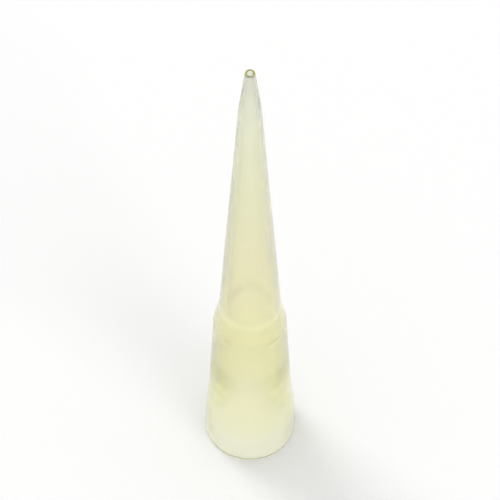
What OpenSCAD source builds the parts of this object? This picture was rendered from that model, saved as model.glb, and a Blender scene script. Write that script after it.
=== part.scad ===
// Pipette tip of about 200 microlitres, moulded in one piece.
// It stands on its wide rim with its point up, and Z is its axis.
// All sizes are in millimetres.

/* [Overall] */
// Length from the rim to the point
tip_length = 50; // [40:0.5:62]
// Bore of the straight land that seals on the pipette's nose
seat_bore = 5; // [4:0.05:6.2]

/* [Mouth] */
// Length of the thin band next to the rim
band_length = 2.9; // [2:0.1:4]
// Wall of the thin band
band_wall = 0.4; // [0.3:0.01:0.5]
// Narrowing of the thin band's outside from the rim to its other end, on the diameter
band_taper = 0.12; // [0.04:0.01:0.3]
// Height of the flare by which the thin band stands out from the collar, on the radius
flare_height = 0.25; // [0.15:0.01:0.5]
// Length of the flare between the thin band and the collar
flare_length = 3; // [2:0.1:4]
// Radius of the rim's two rounded edges
rim_edge_radius = 0.12; // [0.05:0.01:0.14]

/* [Collar] */
// Distance from the rim to the shoulder
collar_length = 15; // [12.5:0.1:20]
// Wall around the middle of the sealing land
collar_wall = 0.5; // [0.4:0.01:0.7]
// Wall just before the shoulder
shoulder_wall = 0.42; // [0.4:0.01:0.6]
// Narrowing of the collar's outside in each millimetre of length, on the diameter
collar_draft = 0.07; // [0.02:0.005:0.08]
// Height of the shoulder's step down to the body, on the radius
shoulder_height = 0.43; // [0.2:0.01:0.6]
// Length of the shoulder's slope
shoulder_length = 2.1; // [0.2:0.1:3]

/* [Socket] */
// Distance from the rim to the sealing land
seat_depth = 8.2; // [7:0.1:10]
// Length of the sealing land
seat_length = 2.4; // [1.5:0.1:3]
// Widening of the socket from the sealing land to the flare, on the diameter
socket_taper = 0.15; // [0.05:0.01:0.3]

/* [Body] */
// Wall just past the shoulder
body_wall = 0.47; // [0.3:0.01:0.6]
// Outside diameter where the point begins
neck_diameter = 1.78; // [1.5:0.01:2.2]
// Wall where the point begins
neck_wall = 0.27; // [0.2:0.01:0.35]

/* [Point] */
// Length of the steeper cone that ends in the point
point_length = 5; // [3:0.1:7]
// Bore of the orifice
orifice_bore = 0.46; // [0.35:0.01:0.6]
// Wall at the orifice
point_wall = 0.17; // [0.15:0.01:0.28]
// Radius of the point's rounded outer edge
point_edge_radius = 0.08; // [0.03:0.01:0.12]

/* [Hidden] */

plastic_colour = [0.88, 0.86, 0.58];

// Rounding between the long slopes of the outside and of the bore
flare_blend = 20;
neck_blend = 30;
bore_step_blend = 6;
// Rounding of the shoulder's edge and of its foot
shoulder_edge = 1.4;
shoulder_foot = 2.6;
// The bore steps down with the shoulder, but its slope reaches this much further at each end
bore_step_reach = 0.1;
// Past the sealing land the bore narrows by at least this much on the radius, however thick the collar is
least_bore_narrowing = 0.02;
// Straight steps in each rounding of the section, and sides of the round tip in a preview
rounding_steps = 6;
sides = 96;

// Heights above the rim
flare_end = band_length + flare_length;
land_end = seat_depth + seat_length;
land_middle = seat_depth + seat_length / 2;
body_start = collar_length + shoulder_length;
bore_step_start = collar_length - bore_step_reach;
bore_step_end = body_start + bore_step_reach;
neck_height = tip_length - point_length;

// Radii. The outside follows from the sealing land and the wall around it as far as the body.
function collar_radius(height) =
    seat_bore / 2 + collar_wall + (land_middle - height) * collar_draft / 2;
band_radius = collar_radius(flare_end) + flare_height;
rim_radius = band_radius + band_taper / 2;
shoulder_radius = collar_radius(collar_length);
foot_radius = shoulder_radius - shoulder_height;
bore_step_radius = min(
    collar_radius(bore_step_start) - shoulder_wall,
    seat_bore / 2 - least_bore_narrowing
);
neck_radius = neck_diameter / 2;
orifice_radius = orifice_bore / 2;
function body_radius(height) =
    foot_radius + (neck_radius - foot_radius) * (height - body_start) / (neck_height - body_start);

function unit(v) = v / norm(v);

// Arc that rounds the corner between two straight lines, as a list of points.
// It takes no more than half of either line, so that the next corner's arc has room.
function rounded_corner(before, corner, after, rounding) =
    let (
        to_before = unit(before - corner),
        to_after = unit(after - corner),
        half_angle = acos(to_before * to_after) / 2,
        half_line = min(norm(before - corner), norm(after - corner)) / 2,
        radius = min(rounding, half_line * tan(half_angle)),
        centre = corner + unit(to_before + to_after) * radius / sin(half_angle),
        first = corner + to_before * radius / tan(half_angle) - centre,
        start = atan2(first.y, first.x),
        sweep = (2 * half_angle - 180) * sign(cross(to_before, to_after))
    )
    [
        for (i = [0:rounding_steps])
            let (angle = start + sweep * i / rounding_steps)
            centre + radius * [cos(angle), sin(angle)]
    ];

// Closed outline through corners that are given as [[radius, height], rounding]
function rounded_outline(corners) =
    let (count = len(corners))
    [
        for (i = [0:count - 1])
            let (
                corner = corners[i][0],
                rounding = corners[i][1],
                before = corners[(i + count - 1) % count][0],
                after = corners[(i + 1) % count][0]
            )
            each rounding > 0 ? rounded_corner(before, corner, after, rounding) : [corner]
    ];

// The wall's outside, from the rim up to the point
outside = [
    [[rim_radius, 0], rim_edge_radius],
    [[band_radius, band_length], flare_blend],
    [[collar_radius(flare_end), flare_end], flare_blend],
    [[shoulder_radius, collar_length], shoulder_edge],
    [[foot_radius, body_start], shoulder_foot],
    [[neck_radius, neck_height], neck_blend],
    [[orifice_radius + point_wall, tip_length], point_edge_radius]
];

// The wall's inside, from the orifice down to the mouth
inside = [
    [[orifice_radius, tip_length], 0],
    [[neck_radius - neck_wall, neck_height], neck_blend],
    [[body_radius(bore_step_end) - body_wall, bore_step_end], bore_step_blend],
    [[bore_step_radius, bore_step_start], bore_step_blend],
    [[seat_bore / 2, land_end], 0],
    [[seat_bore / 2, seat_depth], 0],
    [[(seat_bore + socket_taper) / 2, flare_end], flare_blend],
    [[band_radius - band_wall, band_length], flare_blend],
    [[rim_radius - band_wall, 0], rim_edge_radius]
];

module tip() {
    color(plastic_colour)
        rotate_extrude($fn = sides)
            polygon(rounded_outline(concat(outside, inside)));
}

tip();
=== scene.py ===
"""The looks of a disposable pipette tip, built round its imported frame.

The tip is one moulding of thin, translucent yellow plastic: a round tube that stands on its wide
mouth and narrows to a fine point. Its wall section is a rule in its sizes, so a node tree works the
section out from them and turns it round the tip's own axis. A plain pale studio goes with it.
"""

import logging
import math
from dataclasses import dataclass, field, fields
from enum import Enum
from typing import Any

import bpy
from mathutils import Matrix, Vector


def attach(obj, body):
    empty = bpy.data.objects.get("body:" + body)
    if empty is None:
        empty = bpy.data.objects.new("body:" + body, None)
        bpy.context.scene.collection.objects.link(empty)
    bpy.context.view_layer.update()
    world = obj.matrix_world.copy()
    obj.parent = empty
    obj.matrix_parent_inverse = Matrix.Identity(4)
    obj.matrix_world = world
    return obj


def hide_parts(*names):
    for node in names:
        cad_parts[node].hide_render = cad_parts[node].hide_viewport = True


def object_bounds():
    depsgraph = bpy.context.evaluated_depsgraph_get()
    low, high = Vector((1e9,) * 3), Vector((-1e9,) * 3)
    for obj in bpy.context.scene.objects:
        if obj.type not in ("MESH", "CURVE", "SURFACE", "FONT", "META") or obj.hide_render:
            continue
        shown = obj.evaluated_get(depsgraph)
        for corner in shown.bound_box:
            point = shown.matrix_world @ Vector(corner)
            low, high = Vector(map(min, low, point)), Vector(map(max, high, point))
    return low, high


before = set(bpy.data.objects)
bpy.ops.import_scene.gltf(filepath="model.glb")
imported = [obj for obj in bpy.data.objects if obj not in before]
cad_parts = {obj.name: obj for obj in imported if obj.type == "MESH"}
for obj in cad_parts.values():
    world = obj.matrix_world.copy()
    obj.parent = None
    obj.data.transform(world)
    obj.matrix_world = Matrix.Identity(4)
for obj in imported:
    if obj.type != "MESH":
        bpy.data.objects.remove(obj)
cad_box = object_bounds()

LOG = logging.getLogger("pipette_tip")
MM = 0.001
ROOT_BODY = "root"
TIP_NODE = "tip"
WHITE = (1.0, 1.0, 1.0, 1.0)


class SocketKind(Enum):
    """What an input of a node tree holds."""

    MEASURE = "NodeSocketFloat"
    COUNT = "NodeSocketInt"
    MATERIAL = "NodeSocketMaterial"


class Sum(Enum):
    """The sums that a node tree can work out."""

    ADD = "ADD"
    SUBTRACT = "SUBTRACT"
    MULTIPLY = "MULTIPLY"
    DIVIDE = "DIVIDE"
    MAXIMUM = "MAXIMUM"


class NodeGraph:
    """A node tree, with short ways to add to it."""

    def __init__(self, tree: bpy.types.NodeTree) -> None:
        """Takes the tree that the nodes go into."""
        self.tree = tree

    def feed(self, socket: bpy.types.NodeSocket, value: Any) -> None:
        """Links or sets one input.

        Args:
            socket: The input.
            value: A number of this tree, an output socket, or a plain value.
        """
        if isinstance(value, Number):
            value = value.socket
        if isinstance(value, bpy.types.NodeSocket):
            self.tree.links.new(value, socket)
        else:
            socket.default_value = value

    def add(self, kind: str, feeds: dict[str | int, Any] | None = None, **options: Any) -> bpy.types.Node:
        """Adds one node.

        Args:
            kind: The node's type.
            feeds: What goes into each input, by the input's name or number.
            **options: The node's own options.

        Returns:
            The node.
        """
        node = self.tree.nodes.new(kind)
        for name, value in options.items():
            setattr(node, name, value)
        for key, value in (feeds or {}).items():
            self.feed(node.inputs[key], value)
        return node

    def number(self, socket: bpy.types.NodeSocket) -> "Number":
        """The number that an output socket gives."""
        return Number(self, socket)

    def work_out(self, what: Sum, first: Any, second: Any) -> "Number":
        """Adds a Math node.

        Args:
            what: The sum.
            first: The first number.
            second: The second number.

        Returns:
            The result.
        """
        node = self.add("ShaderNodeMath", {0: first, 1: second}, operation=what.value)
        return self.number(node.outputs[0])


@dataclass(frozen=True)
class Number:
    """A number inside a node tree, which the plain signs of a sum work on."""

    graph: NodeGraph
    socket: bpy.types.NodeSocket

    def __add__(self, other: Any) -> "Number":
        """This and another number together."""
        return self.graph.work_out(Sum.ADD, self, other)

    def __sub__(self, other: Any) -> "Number":
        """This less another number."""
        return self.graph.work_out(Sum.SUBTRACT, self, other)

    def __mul__(self, other: Any) -> "Number":
        """This times another number."""
        return self.graph.work_out(Sum.MULTIPLY, self, other)

    def __truediv__(self, other: Any) -> "Number":
        """This shared by another number."""
        return self.graph.work_out(Sum.DIVIDE, self, other)

    def __neg__(self) -> "Number":
        """This number's opposite."""
        return self.graph.work_out(Sum.MULTIPLY, self, -1.0)


@dataclass(frozen=True)
class TipSizes:
    """The moulding's own sizes in metres, as its drawing has them.

    A wall, a height on the radius or a radius is measured across one side. A bore, a diameter, a taper
    or a draft is measured across the whole.
    """

    tip_length: float = 50 * MM
    seat_bore: float = 5 * MM
    band_length: float = 2.9 * MM
    band_wall: float = 0.4 * MM
    band_taper: float = 0.12 * MM
    flare_height: float = 0.25 * MM
    flare_length: float = 3 * MM
    rim_edge_radius: float = 0.12 * MM
    collar_length: float = 15 * MM
    collar_wall: float = 0.5 * MM
    shoulder_wall: float = 0.42 * MM
    collar_draft: float = 0.07
    shoulder_height: float = 0.43 * MM
    shoulder_length: float = 2.1 * MM
    seat_depth: float = 8.2 * MM
    seat_length: float = 2.4 * MM
    socket_taper: float = 0.15 * MM
    body_wall: float = 0.47 * MM
    neck_diameter: float = 1.78 * MM
    neck_wall: float = 0.27 * MM
    point_length: float = 5 * MM
    orifice_bore: float = 0.46 * MM
    point_wall: float = 0.17 * MM
    point_edge_radius: float = 0.08 * MM
    flare_blend: float = 20 * MM
    neck_blend: float = 30 * MM
    bore_step_blend: float = 6 * MM
    bore_step_reach: float = 0.1 * MM
    shoulder_edge: float = 1.4 * MM
    shoulder_foot: float = 2.6 * MM


@dataclass(frozen=True)
class Fineness:
    """How finely the tube is divided."""

    sides: int = 128
    rounding_steps: int = 10
    ring_spacing: float = 0.4 * MM


@dataclass(frozen=True)
class Corner:
    """One corner of the wall section: how far from the axis, how high, and the radius that rounds it."""

    radius: Number
    height: Any
    rounding: Any = 0.0


class TipShape:
    """The node tree that works out the wall section and turns it round the axis."""

    SHARP_ANGLE: float = math.radians(32)
    MERGE_DISTANCE: float = 0.0005 * MM

    def __init__(self, sizes: TipSizes, fineness: Fineness) -> None:
        """Makes the tree, with one named input for each size.

        Args:
            sizes: The moulding's sizes.
            fineness: How finely the tube is divided.
        """
        self.tree = bpy.data.node_groups.new("Turned tip", "GeometryNodeTree")
        self.tree.is_modifier = True
        self.graph = NodeGraph(self.tree)
        self.values: dict[str, Any] = {}
        self.sockets: dict[str, bpy.types.NodeTreeInterfaceSocket] = {}
        for group, kind in ((sizes, SocketKind.MEASURE), (fineness, SocketKind.COUNT)):
            for item in fields(group):
                value = getattr(group, item.name)
                self._declare(item.name, SocketKind.MEASURE if isinstance(value, float) else kind, value)
        self._declare("material", SocketKind.MATERIAL, None)
        self.tree.interface.new_socket("Geometry", in_out="OUTPUT", socket_type="NodeSocketGeometry")
        self.source = self.graph.add("NodeGroupInput")
        self._make()

    def _declare(self, name: str, kind: SocketKind, value: Any) -> None:
        """Adds one named input.

        Args:
            name: The size's name.
            kind: What the input holds.
            value: What the modifier is to give it.
        """
        label = name.replace("_", " ").capitalize()
        self.sockets[name] = self.tree.interface.new_socket(label, in_out="INPUT", socket_type=kind.value)
        self.values[name] = value

    def _input(self, name: str) -> Number:
        """The tree's input of that name."""
        return self.graph.number(self.source.outputs[self.sockets[name].name])

    def corners(self) -> list[Corner]:
        """The wall section's corners, up the outside from the rim to the point and down the inside.

        Returns:
            The corners in order, as a closed loop.
        """
        size = {item.name: self._input(item.name) for item in fields(TipSizes)}
        land_end = size["seat_depth"] + size["seat_length"]
        land_middle = size["seat_depth"] + size["seat_length"] / 2
        flare_end = size["band_length"] + size["flare_length"]
        body_start = size["collar_length"] + size["shoulder_length"]
        bore_step_start = size["collar_length"] - size["bore_step_reach"]
        bore_step_end = body_start + size["bore_step_reach"]
        neck_height = size["tip_length"] - size["point_length"]
        seat_radius = size["seat_bore"] / 2

        def collar_radius(height: Number) -> Number:
            """The outside of the drafted collar at a height."""
            return seat_radius + size["collar_wall"] + (land_middle - height) * size["collar_draft"] / 2

        flare_radius = collar_radius(flare_end)
        band_radius = flare_radius + size["flare_height"]
        rim_radius = band_radius + size["band_taper"] / 2
        shoulder_radius = collar_radius(size["collar_length"])
        foot_radius = shoulder_radius - size["shoulder_height"]
        neck_radius = size["neck_diameter"] / 2
        orifice_radius = size["orifice_bore"] / 2

        def body_radius(height: Number) -> Number:
            """The outside of the tapering body at a height."""
            part = (height - body_start) / (neck_height - body_start)
            return foot_radius + (neck_radius - foot_radius) * part

        outside = [
            Corner(rim_radius, 0.0, size["rim_edge_radius"]),
            Corner(band_radius, size["band_length"], size["flare_blend"]),
            Corner(flare_radius, flare_end, size["flare_blend"]),
            Corner(shoulder_radius, size["collar_length"], size["shoulder_edge"]),
            Corner(foot_radius, body_start, size["shoulder_foot"]),
            Corner(neck_radius, neck_height, size["neck_blend"]),
            Corner(orifice_radius + size["point_wall"], size["tip_length"], size["point_edge_radius"]),
        ]
        step_blend = size["bore_step_blend"]
        inside = [
            Corner(orifice_radius, size["tip_length"]),
            Corner(neck_radius - size["neck_wall"], neck_height, size["neck_blend"]),
            Corner(body_radius(bore_step_end) - size["body_wall"], bore_step_end, step_blend),
            Corner(collar_radius(bore_step_start) - size["shoulder_wall"], bore_step_start, step_blend),
            Corner(seat_radius, land_end),
            Corner(seat_radius, size["seat_depth"]),
            Corner(seat_radius + size["socket_taper"] / 2, flare_end, size["flare_blend"]),
            Corner(band_radius - size["band_wall"], size["band_length"], size["flare_blend"]),
            Corner(rim_radius - size["band_wall"], 0.0, size["rim_edge_radius"]),
        ]
        return outside + inside

    def _chooser(self, kind: str, index: bpy.types.NodeSocket, choices: list[Any]) -> bpy.types.NodeSocket:
        """Gives each point its own value.

        Args:
            kind: What the values are, VECTOR or FLOAT.
            index: The point's number.
            choices: The value of each point, in order.

        Returns:
            The socket that gives a point its value.
        """
        node = self.graph.add("GeometryNodeIndexSwitch", data_type=kind)
        while len(node.index_switch_items) < len(choices):
            node.index_switch_items.new()
        self.graph.feed(node.inputs["Index"], index)
        for number, choice in enumerate(choices):
            self.graph.feed(node.inputs[str(number)], choice)
        return node.outputs[0]

    def _section(self, turning_radius: Number) -> bpy.types.NodeSocket:
        """The closed wall section, with its corners rounded and its long sides divided.

        Args:
            turning_radius: The radius of the circle that carries the section.

        Returns:
            The section's curve.
        """
        graph = self.graph
        corners = self.corners()
        index = graph.add("GeometryNodeInputIndex").outputs[0]
        places = []
        for corner in corners:
            place = graph.add(
                "ShaderNodeCombineXYZ",
                {"X": corner.radius - turning_radius, "Y": -corner.height},
            )
            places.append(place.outputs[0])
        points = graph.add(
            "GeometryNodePoints",
            {"Count": len(corners), "Position": self._chooser("VECTOR", index, places)},
        )
        line = graph.add("GeometryNodePointsToCurves", {"Points": points.outputs[0]})
        loop = graph.add("GeometryNodeSetSplineCyclic", {"Geometry": line.outputs[0], "Cyclic": True})
        rounded = graph.add(
            "GeometryNodeFilletCurve",
            {
                "Curve": loop.outputs[0],
                "Count": self._input("rounding_steps"),
                "Radius": self._chooser("FLOAT", index, [corner.rounding for corner in corners]),
            },
            mode="POLY",
        )
        position = graph.add("GeometryNodeInputPosition").outputs[0]
        following = graph.add("GeometryNodeOffsetPointInCurve", {"Point Index": index, "Offset": 1})
        ahead = graph.add(
            "GeometryNodeFieldAtIndex",
            {"Index": following.outputs["Point Index"]},
            data_type="FLOAT_VECTOR",
            domain="POINT",
        )
        graph.feed(ahead.inputs["Value"], position)
        span = graph.add("ShaderNodeVectorMath", {0: position, 1: ahead.outputs[0]}, operation="DISTANCE")
        cuts = graph.number(span.outputs["Value"]) / self._input("ring_spacing")
        divided = graph.add("GeometryNodeSubdivideCurve", {"Curve": rounded.outputs[0], "Cuts": cuts})
        return divided.outputs[0]

    def _make(self) -> None:
        """Turns the section round the axis, closes it and gives it its material."""
        graph = self.graph
        turning_radius = self._input("seat_bore")
        circle = graph.add(
            "GeometryNodeCurvePrimitiveCircle",
            {"Resolution": self._input("sides"), "Radius": turning_radius},
            mode="RADIUS",
        )
        turned = graph.add(
            "GeometryNodeCurveToMesh",
            {"Curve": circle.outputs[0], "Profile Curve": self._section(turning_radius)},
        )
        outward = graph.add("GeometryNodeFlipFaces", {"Mesh": turned.outputs[0]})
        closed = graph.add(
            "GeometryNodeMergeByDistance",
            {"Geometry": outward.outputs[0], "Distance": self.MERGE_DISTANCE},
        )
        smooth = graph.add("GeometryNodeSetShadeSmooth", {"Geometry": closed.outputs[0]}, domain="FACE")
        angle = graph.add("GeometryNodeInputMeshEdgeAngle").outputs["Unsigned Angle"]
        sharp = graph.add("ShaderNodeMath", {0: angle, 1: self.SHARP_ANGLE}, operation="GREATER_THAN")
        edged = graph.add(
            "GeometryNodeSetShadeSmooth",
            {"Geometry": smooth.outputs[0], "Selection": sharp.outputs[0], "Shade Smooth": False},
            domain="EDGE",
        )
        real = graph.add("GeometryNodeRealizeInstances", {"Geometry": edged.outputs[0]})
        dressed = graph.add(
            "GeometryNodeSetMaterial",
            {"Geometry": real.outputs[0], "Material": self._input("material")},
        )
        graph.add("NodeGroupOutput", {0: dressed.outputs[0]})

    def moulding(self, name: str, material: bpy.types.Material) -> bpy.types.Object:
        """Runs the tree and keeps its result as a plain mesh.

        Args:
            name: The new object's name.
            material: What the moulding is made of.

        Returns:
            The object, at the origin, with no modifier left on it.
        """
        piece = bpy.data.objects.new(name, bpy.data.meshes.new(name))
        bpy.context.scene.collection.objects.link(piece)
        modifier = piece.modifiers.new("Turned tip", "NODES")
        modifier.node_group = self.tree
        for key, value in {**self.values, "material": material}.items():
            modifier[self.sockets[key].identifier] = value
        depsgraph = bpy.context.evaluated_depsgraph_get()
        mesh = bpy.data.meshes.new_from_object(piece.evaluated_get(depsgraph), depsgraph=depsgraph)
        piece.modifiers.remove(modifier)
        piece.data = mesh
        mesh.name = name
        return piece


@dataclass(frozen=True)
class Tone:
    """The plastic's colour at one height."""

    height: float
    colour: tuple[float, float, float]


@dataclass(frozen=True)
class TipPlastic:
    """Thin moulded plastic, tinted yellow and slightly milky, that light passes through."""

    name: str = "yellow_tip_plastic"
    toned_length: float = 50 * MM
    tones: tuple[Tone, ...] = (
        Tone(0.0 * MM, (0.965, 0.97, 0.885)),
        Tone(2.2 * MM, (0.965, 0.97, 0.865)),
        Tone(3.8 * MM, (0.965, 0.965, 0.775)),
        Tone(6.0 * MM, (0.965, 0.96, 0.755)),
        Tone(9.0 * MM, (0.98, 0.97, 0.76)),
        Tone(12.0 * MM, (0.99, 0.97, 0.795)),
        Tone(15.0 * MM, (0.985, 0.96, 0.805)),
        Tone(17.2 * MM, (0.98, 0.965, 0.825)),
        Tone(22.0 * MM, (0.99, 0.965, 0.86)),
        Tone(28.0 * MM, (0.98, 0.97, 0.86)),
        Tone(36.0 * MM, (0.97, 0.975, 0.875)),
        Tone(44.0 * MM, (0.965, 0.975, 0.915)),
        Tone(50.0 * MM, (0.91, 0.925, 0.88)),
    )
    clearness: float = 0.94
    refraction: float = 1.49
    roughest: float = 0.22
    smoothest: float = 0.12
    gloss: float = 0.15
    gloss_roughness: float = 0.09
    tint: tuple[float, float, float, float] = (0.998, 0.994, 0.42, 1.0)
    tint_per_metre: float = 350.0
    streak_width: float = 0.5 * MM
    streak_length: float = 14 * MM
    streak_depth: float = 0.05
    cloud_size: float = 3.5 * MM
    grain_size: float = 0.11 * MM
    grain_depth: float = 0.0022 * MM
    streak_detail: float = 3.0
    fine_detail: float = 2.0

    def material(self) -> bpy.types.Material:
        """Makes the material.

        Returns:
            The material, on the piece's own coordinates.
        """
        material = bpy.data.materials.new(self.name)
        material.use_nodes = True
        material.node_tree.nodes.clear()
        graph = NodeGraph(material.node_tree)
        place = graph.add("ShaderNodeTexCoord").outputs["Object"]
        streaks = self._streaks(graph, place)
        plastic = graph.add(
            "ShaderNodeBsdfPrincipled",
            {
                "Base Color": self._colour(graph, place, streaks),
                "Roughness": streaks * (self.roughest - self.smoothest) + self.smoothest,
                "IOR": self.refraction,
                "Transmission Weight": self.clearness,
                "Coat Weight": self.gloss,
                "Coat Roughness": self.gloss_roughness,
                "Normal": self._surface(graph, place, streaks),
            },
        )
        tint = graph.add("ShaderNodeVolumeAbsorption", {"Color": self.tint, "Density": self.tint_per_metre})
        graph.add("ShaderNodeOutputMaterial", {"Surface": plastic.outputs[0], "Volume": tint.outputs[0]})
        return material

    def _streaks(self, graph: NodeGraph, place: bpy.types.NodeSocket) -> Number:
        """The lengthwise streaks that the plastic's flow leaves, from 0 to 1.

        Args:
            graph: The material's nodes.
            place: The point on the piece.

        Returns:
            How strong the streak is there.
        """
        across = 1 / self.streak_width
        along = 1 / self.streak_length
        stretched = graph.add("ShaderNodeMapping", {"Vector": place, "Scale": (across, across, along)})
        return self._noise(graph, stretched.outputs[0], 1.0, self.streak_detail)

    def _noise(self, graph: NodeGraph, place: bpy.types.NodeSocket, size: float, detail: float) -> Number:
        """Adds a noise.

        Args:
            graph: The material's nodes.
            place: The point on the piece.
            size: How wide its spots are.
            detail: How many finer layers it has.

        Returns:
            The noise there, from 0 to 1.
        """
        noise = graph.add("ShaderNodeTexNoise", {"Vector": place, "Scale": 1 / size, "Detail": detail})
        return graph.number(noise.outputs["Fac"])

    def _colour(
        self, graph: NodeGraph, place: bpy.types.NodeSocket, streaks: Number
    ) -> bpy.types.NodeSocket:
        """The colour, which follows the wall's thickness up the tip, with clouds and streaks in it.

        Args:
            graph: The material's nodes.
            place: The point on the piece.
            streaks: How strong the streak is there.

        Returns:
            The colour's socket.
        """
        height = graph.number(graph.add("ShaderNodeSeparateXYZ", {0: place}).outputs["Z"])
        ramp = graph.add("ShaderNodeValToRGB", {"Fac": height / self.toned_length})
        stops = ramp.color_ramp.elements
        while len(stops) < len(self.tones):
            stops.new(1.0)
        for stop, tone in zip(stops, self.tones):
            stop.position = tone.height / self.toned_length
            stop.color = (*tone.colour, 1.0)
        cloud = self._noise(graph, place, self.cloud_size, self.fine_detail)
        shade = (streaks + cloud - 1.0) * self.streak_depth + 1.0
        shaded = graph.add("ShaderNodeVectorMath", {0: ramp.outputs[0], "Scale": shade}, operation="SCALE")
        return shaded.outputs[0]

    def _surface(
        self, graph: NodeGraph, place: bpy.types.NodeSocket, streaks: Number
    ) -> bpy.types.NodeSocket:
        """The moulded surface: a very fine grain and the flow's faint streaks.

        Args:
            graph: The material's nodes.
            place: The point on the piece.
            streaks: How strong the streak is there.

        Returns:
            The normal's socket.
        """
        height = self._noise(graph, place, self.grain_size, self.fine_detail) + streaks
        bump = graph.add("ShaderNodeBump", {"Height": height, "Distance": self.grain_depth, "Strength": 1.0})
        return bump.outputs[0]


@dataclass
class PipetteTip:
    """The whole tip. It is one moulding."""

    sizes: TipSizes = field(default_factory=TipSizes)
    fineness: Fineness = field(default_factory=Fineness)
    finish: TipPlastic = field(default_factory=TipPlastic)
    shape: TipShape | None = None
    piece: bpy.types.Object | None = None

    def build(self) -> None:
        """Makes the tree that gives the moulding its shape."""
        self.shape = TipShape(self.sizes, self.fineness)

    def dress(self) -> None:
        """Moulds the tip in its plastic, hangs it on the frame's root body and hides the frame's own tip."""
        self.piece = self.shape.moulding("tip_moulding", self.finish.material())
        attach(self.piece, ROOT_BODY)
        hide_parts(TIP_NODE)

    def report(self) -> None:
        """Logs the piece's faces, size and the plastic in it."""
        mesh = self.piece.data
        mesh.calc_loop_triangles()
        corners = [vertex.co for vertex in mesh.vertices]
        volume = sum(
            corners[a].dot(corners[b].cross(corners[c])) / 6
            for a, b, c in (triangle.vertices for triangle in mesh.loop_triangles)
        )
        LOG.info(
            "%s: %d faces, %.3f x %.3f x %.3f mm, %.2f mm3 of plastic",
            self.piece.name,
            len(mesh.polygons),
            *(side / MM for side in self.piece.dimensions),
            volume / MM**3,
        )


@dataclass(frozen=True)
class SoftLamp:
    """A far, wide lamp, so that its light falls evenly and its shadows are soft."""

    name: str
    azimuth: float
    elevation: float
    strength: float
    width: float

    def build(self) -> None:
        """Puts the lamp in the scene, facing the tip."""
        light = bpy.data.lights.new(self.name, "SUN")
        light.energy = self.strength
        light.angle = math.radians(self.width)
        lamp = bpy.data.objects.new(self.name, light)
        lamp.rotation_euler = direction(self.azimuth, self.elevation).to_track_quat("Z", "Y").to_euler()
        bpy.context.scene.collection.objects.link(lamp)


def direction(azimuth: float, elevation: float) -> Vector:
    """The way from the tip to something round it.

    Args:
        azimuth: Degrees round the tip, 0 at the front and 90 at the right.
        elevation: Degrees above the floor.

    Returns:
        A unit vector.
    """
    turn = math.radians(azimuth)
    rise = math.radians(elevation)
    return Vector((math.sin(turn) * math.cos(rise), -math.cos(turn) * math.cos(rise), math.sin(rise)))


def seen(graph: NodeGraph) -> Number:
    """Tells what is looked at from what only gives light.

    Args:
        graph: The nodes of the floor or the dome.

    Returns:
        1 where it is looked at straight, in a gloss or through the plastic, and 0 elsewhere.
    """
    path = graph.add("ShaderNodeLightPath").outputs
    straight_or_gloss = graph.work_out(Sum.MAXIMUM, path["Is Camera Ray"], path["Is Glossy Ray"])
    return graph.work_out(Sum.MAXIMUM, straight_or_gloss, path["Is Transmission Ray"])


@dataclass(frozen=True)
class FloorPaper:
    """Matt white paper, a little lighter where the plastic is looked through."""

    name: str = "floor_paper"
    white: float = 0.94
    lift: float = 0.06
    through: float = 0.65

    def material(self) -> bpy.types.Material:
        """Makes the material.

        Returns:
            The material, which keeps the shadows that fall on it.
        """
        material = bpy.data.materials.new(self.name)
        material.use_nodes = True
        material.node_tree.nodes.clear()
        material.cycles.emission_sampling = "NONE"
        graph = NodeGraph(material.node_tree)
        paper = graph.add("ShaderNodeBsdfDiffuse", {"Color": (self.white,) * 3 + (1.0,)})
        lift = graph.add("ShaderNodeEmission", {"Color": WHITE, "Strength": seen(graph) * self.lift})
        shaded = graph.add("ShaderNodeAddShader", {0: paper.outputs[0], 1: lift.outputs[0]})
        white = graph.add("ShaderNodeEmission", {"Color": WHITE, "Strength": 1.0})
        seen_through = graph.number(graph.add("ShaderNodeLightPath").outputs["Is Transmission Ray"])
        behind = graph.add(
            "ShaderNodeMixShader",
            {0: seen_through * self.through, 1: shaded.outputs[0], 2: white.outputs[0]},
        )
        graph.add("ShaderNodeOutputMaterial", {"Surface": behind.outputs[0]})
        return material


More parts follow.
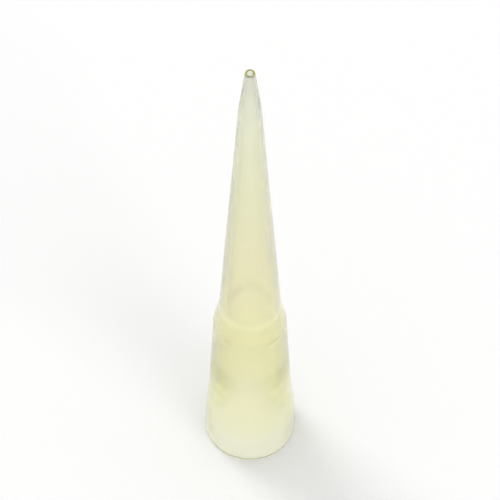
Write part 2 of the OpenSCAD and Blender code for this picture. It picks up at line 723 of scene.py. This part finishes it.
@dataclass(frozen=True)
class Studio:
    """A pale floor, soft light and the camera. The clips are shares of the camera's distance."""

    elevation: float = 58.0
    lens: float = 1500.0
    sensor: float = 36.0
    view_height: float = 38 * MM
    near_clip: float = 0.01
    far_clip: float = 10.0
    floor_paper: FloorPaper = field(default_factory=FloorPaper)
    floor_radius: float = 4.0
    floor_sides: int = 96
    floor_gap: float = 0.02 * MM
    dome: float = 0.7
    light_turns: int = 24
    lamps: tuple[SoftLamp, ...] = (
        SoftLamp("upper_left_lamp", azimuth=222, elevation=52, strength=0.8, width=24),
        SoftLamp("lower_right_lamp", azimuth=42, elevation=38, strength=0.5, width=30),
    )

    def build(self) -> None:
        """Makes the floor, the lamps, the dome and the camera."""
        self._floor()
        for lamp in self.lamps:
            lamp.build()
        self._dome()
        self._camera()
        self._light_turns()
        bpy.context.scene.view_settings.view_transform = "Standard"

    def _floor(self) -> None:
        """Lays a round pale floor just under the rim."""
        turns = [2 * math.pi * step / self.floor_sides for step in range(self.floor_sides)]
        ring = [
            (self.floor_radius * math.cos(turn), self.floor_radius * math.sin(turn), -self.floor_gap)
            for turn in turns
        ]
        mesh = bpy.data.meshes.new("floor")
        mesh.from_pydata(ring, [], [list(range(self.floor_sides))])
        mesh.materials.append(self.floor_paper.material())
        floor = bpy.data.objects.new("floor", mesh)
        bpy.context.scene.collection.objects.link(floor)

    def _dome(self) -> None:
        """Lights everything evenly from the sky side, and shows white where it is looked at."""
        world = bpy.data.worlds.new("dome")
        bpy.context.scene.world = world
        world.use_nodes = True
        world.cycles.sampling_method = "NONE"
        world.node_tree.nodes.clear()
        graph = NodeGraph(world.node_tree)
        strength = seen(graph) * (1 - self.dome) + self.dome
        light = graph.add("ShaderNodeBackground", {"Color": WHITE, "Strength": strength})
        graph.add("ShaderNodeOutputWorld", {"Surface": light.outputs[0]})

    def _light_turns(self) -> None:
        """Lets light run on down inside the thin walls, where it turns many times before it leaves."""
        tracing = bpy.context.scene.cycles
        tracing.max_bounces = self.light_turns
        tracing.glossy_bounces = self.light_turns
        tracing.transmission_bounces = self.light_turns

    def _camera(self) -> None:
        """Looks down at the tip from in front, from far off, so that its sides stay true."""
        low, high = cad_box
        middle = (low + high) / 2
        distance = self.view_height * self.lens / self.sensor
        data = bpy.data.cameras.new("camera")
        data.lens = self.lens
        data.sensor_width = self.sensor
        data.clip_start = distance * self.near_clip
        data.clip_end = distance * self.far_clip
        camera = bpy.data.objects.new("camera", data)
        camera.location = middle + direction(0, self.elevation) * distance
        camera.rotation_euler = direction(0, self.elevation).to_track_quat("Z", "Y").to_euler()
        bpy.context.scene.collection.objects.link(camera)
        bpy.context.scene.camera = camera


def main() -> None:
    """Builds the tip and the studio round it."""
    logging.basicConfig(level=logging.INFO, format="%(name)s: %(message)s")
    tip = PipetteTip()
    tip.build()
    tip.dress()
    tip.report()
    Studio().build()


if __name__ == "__main__":
    main()
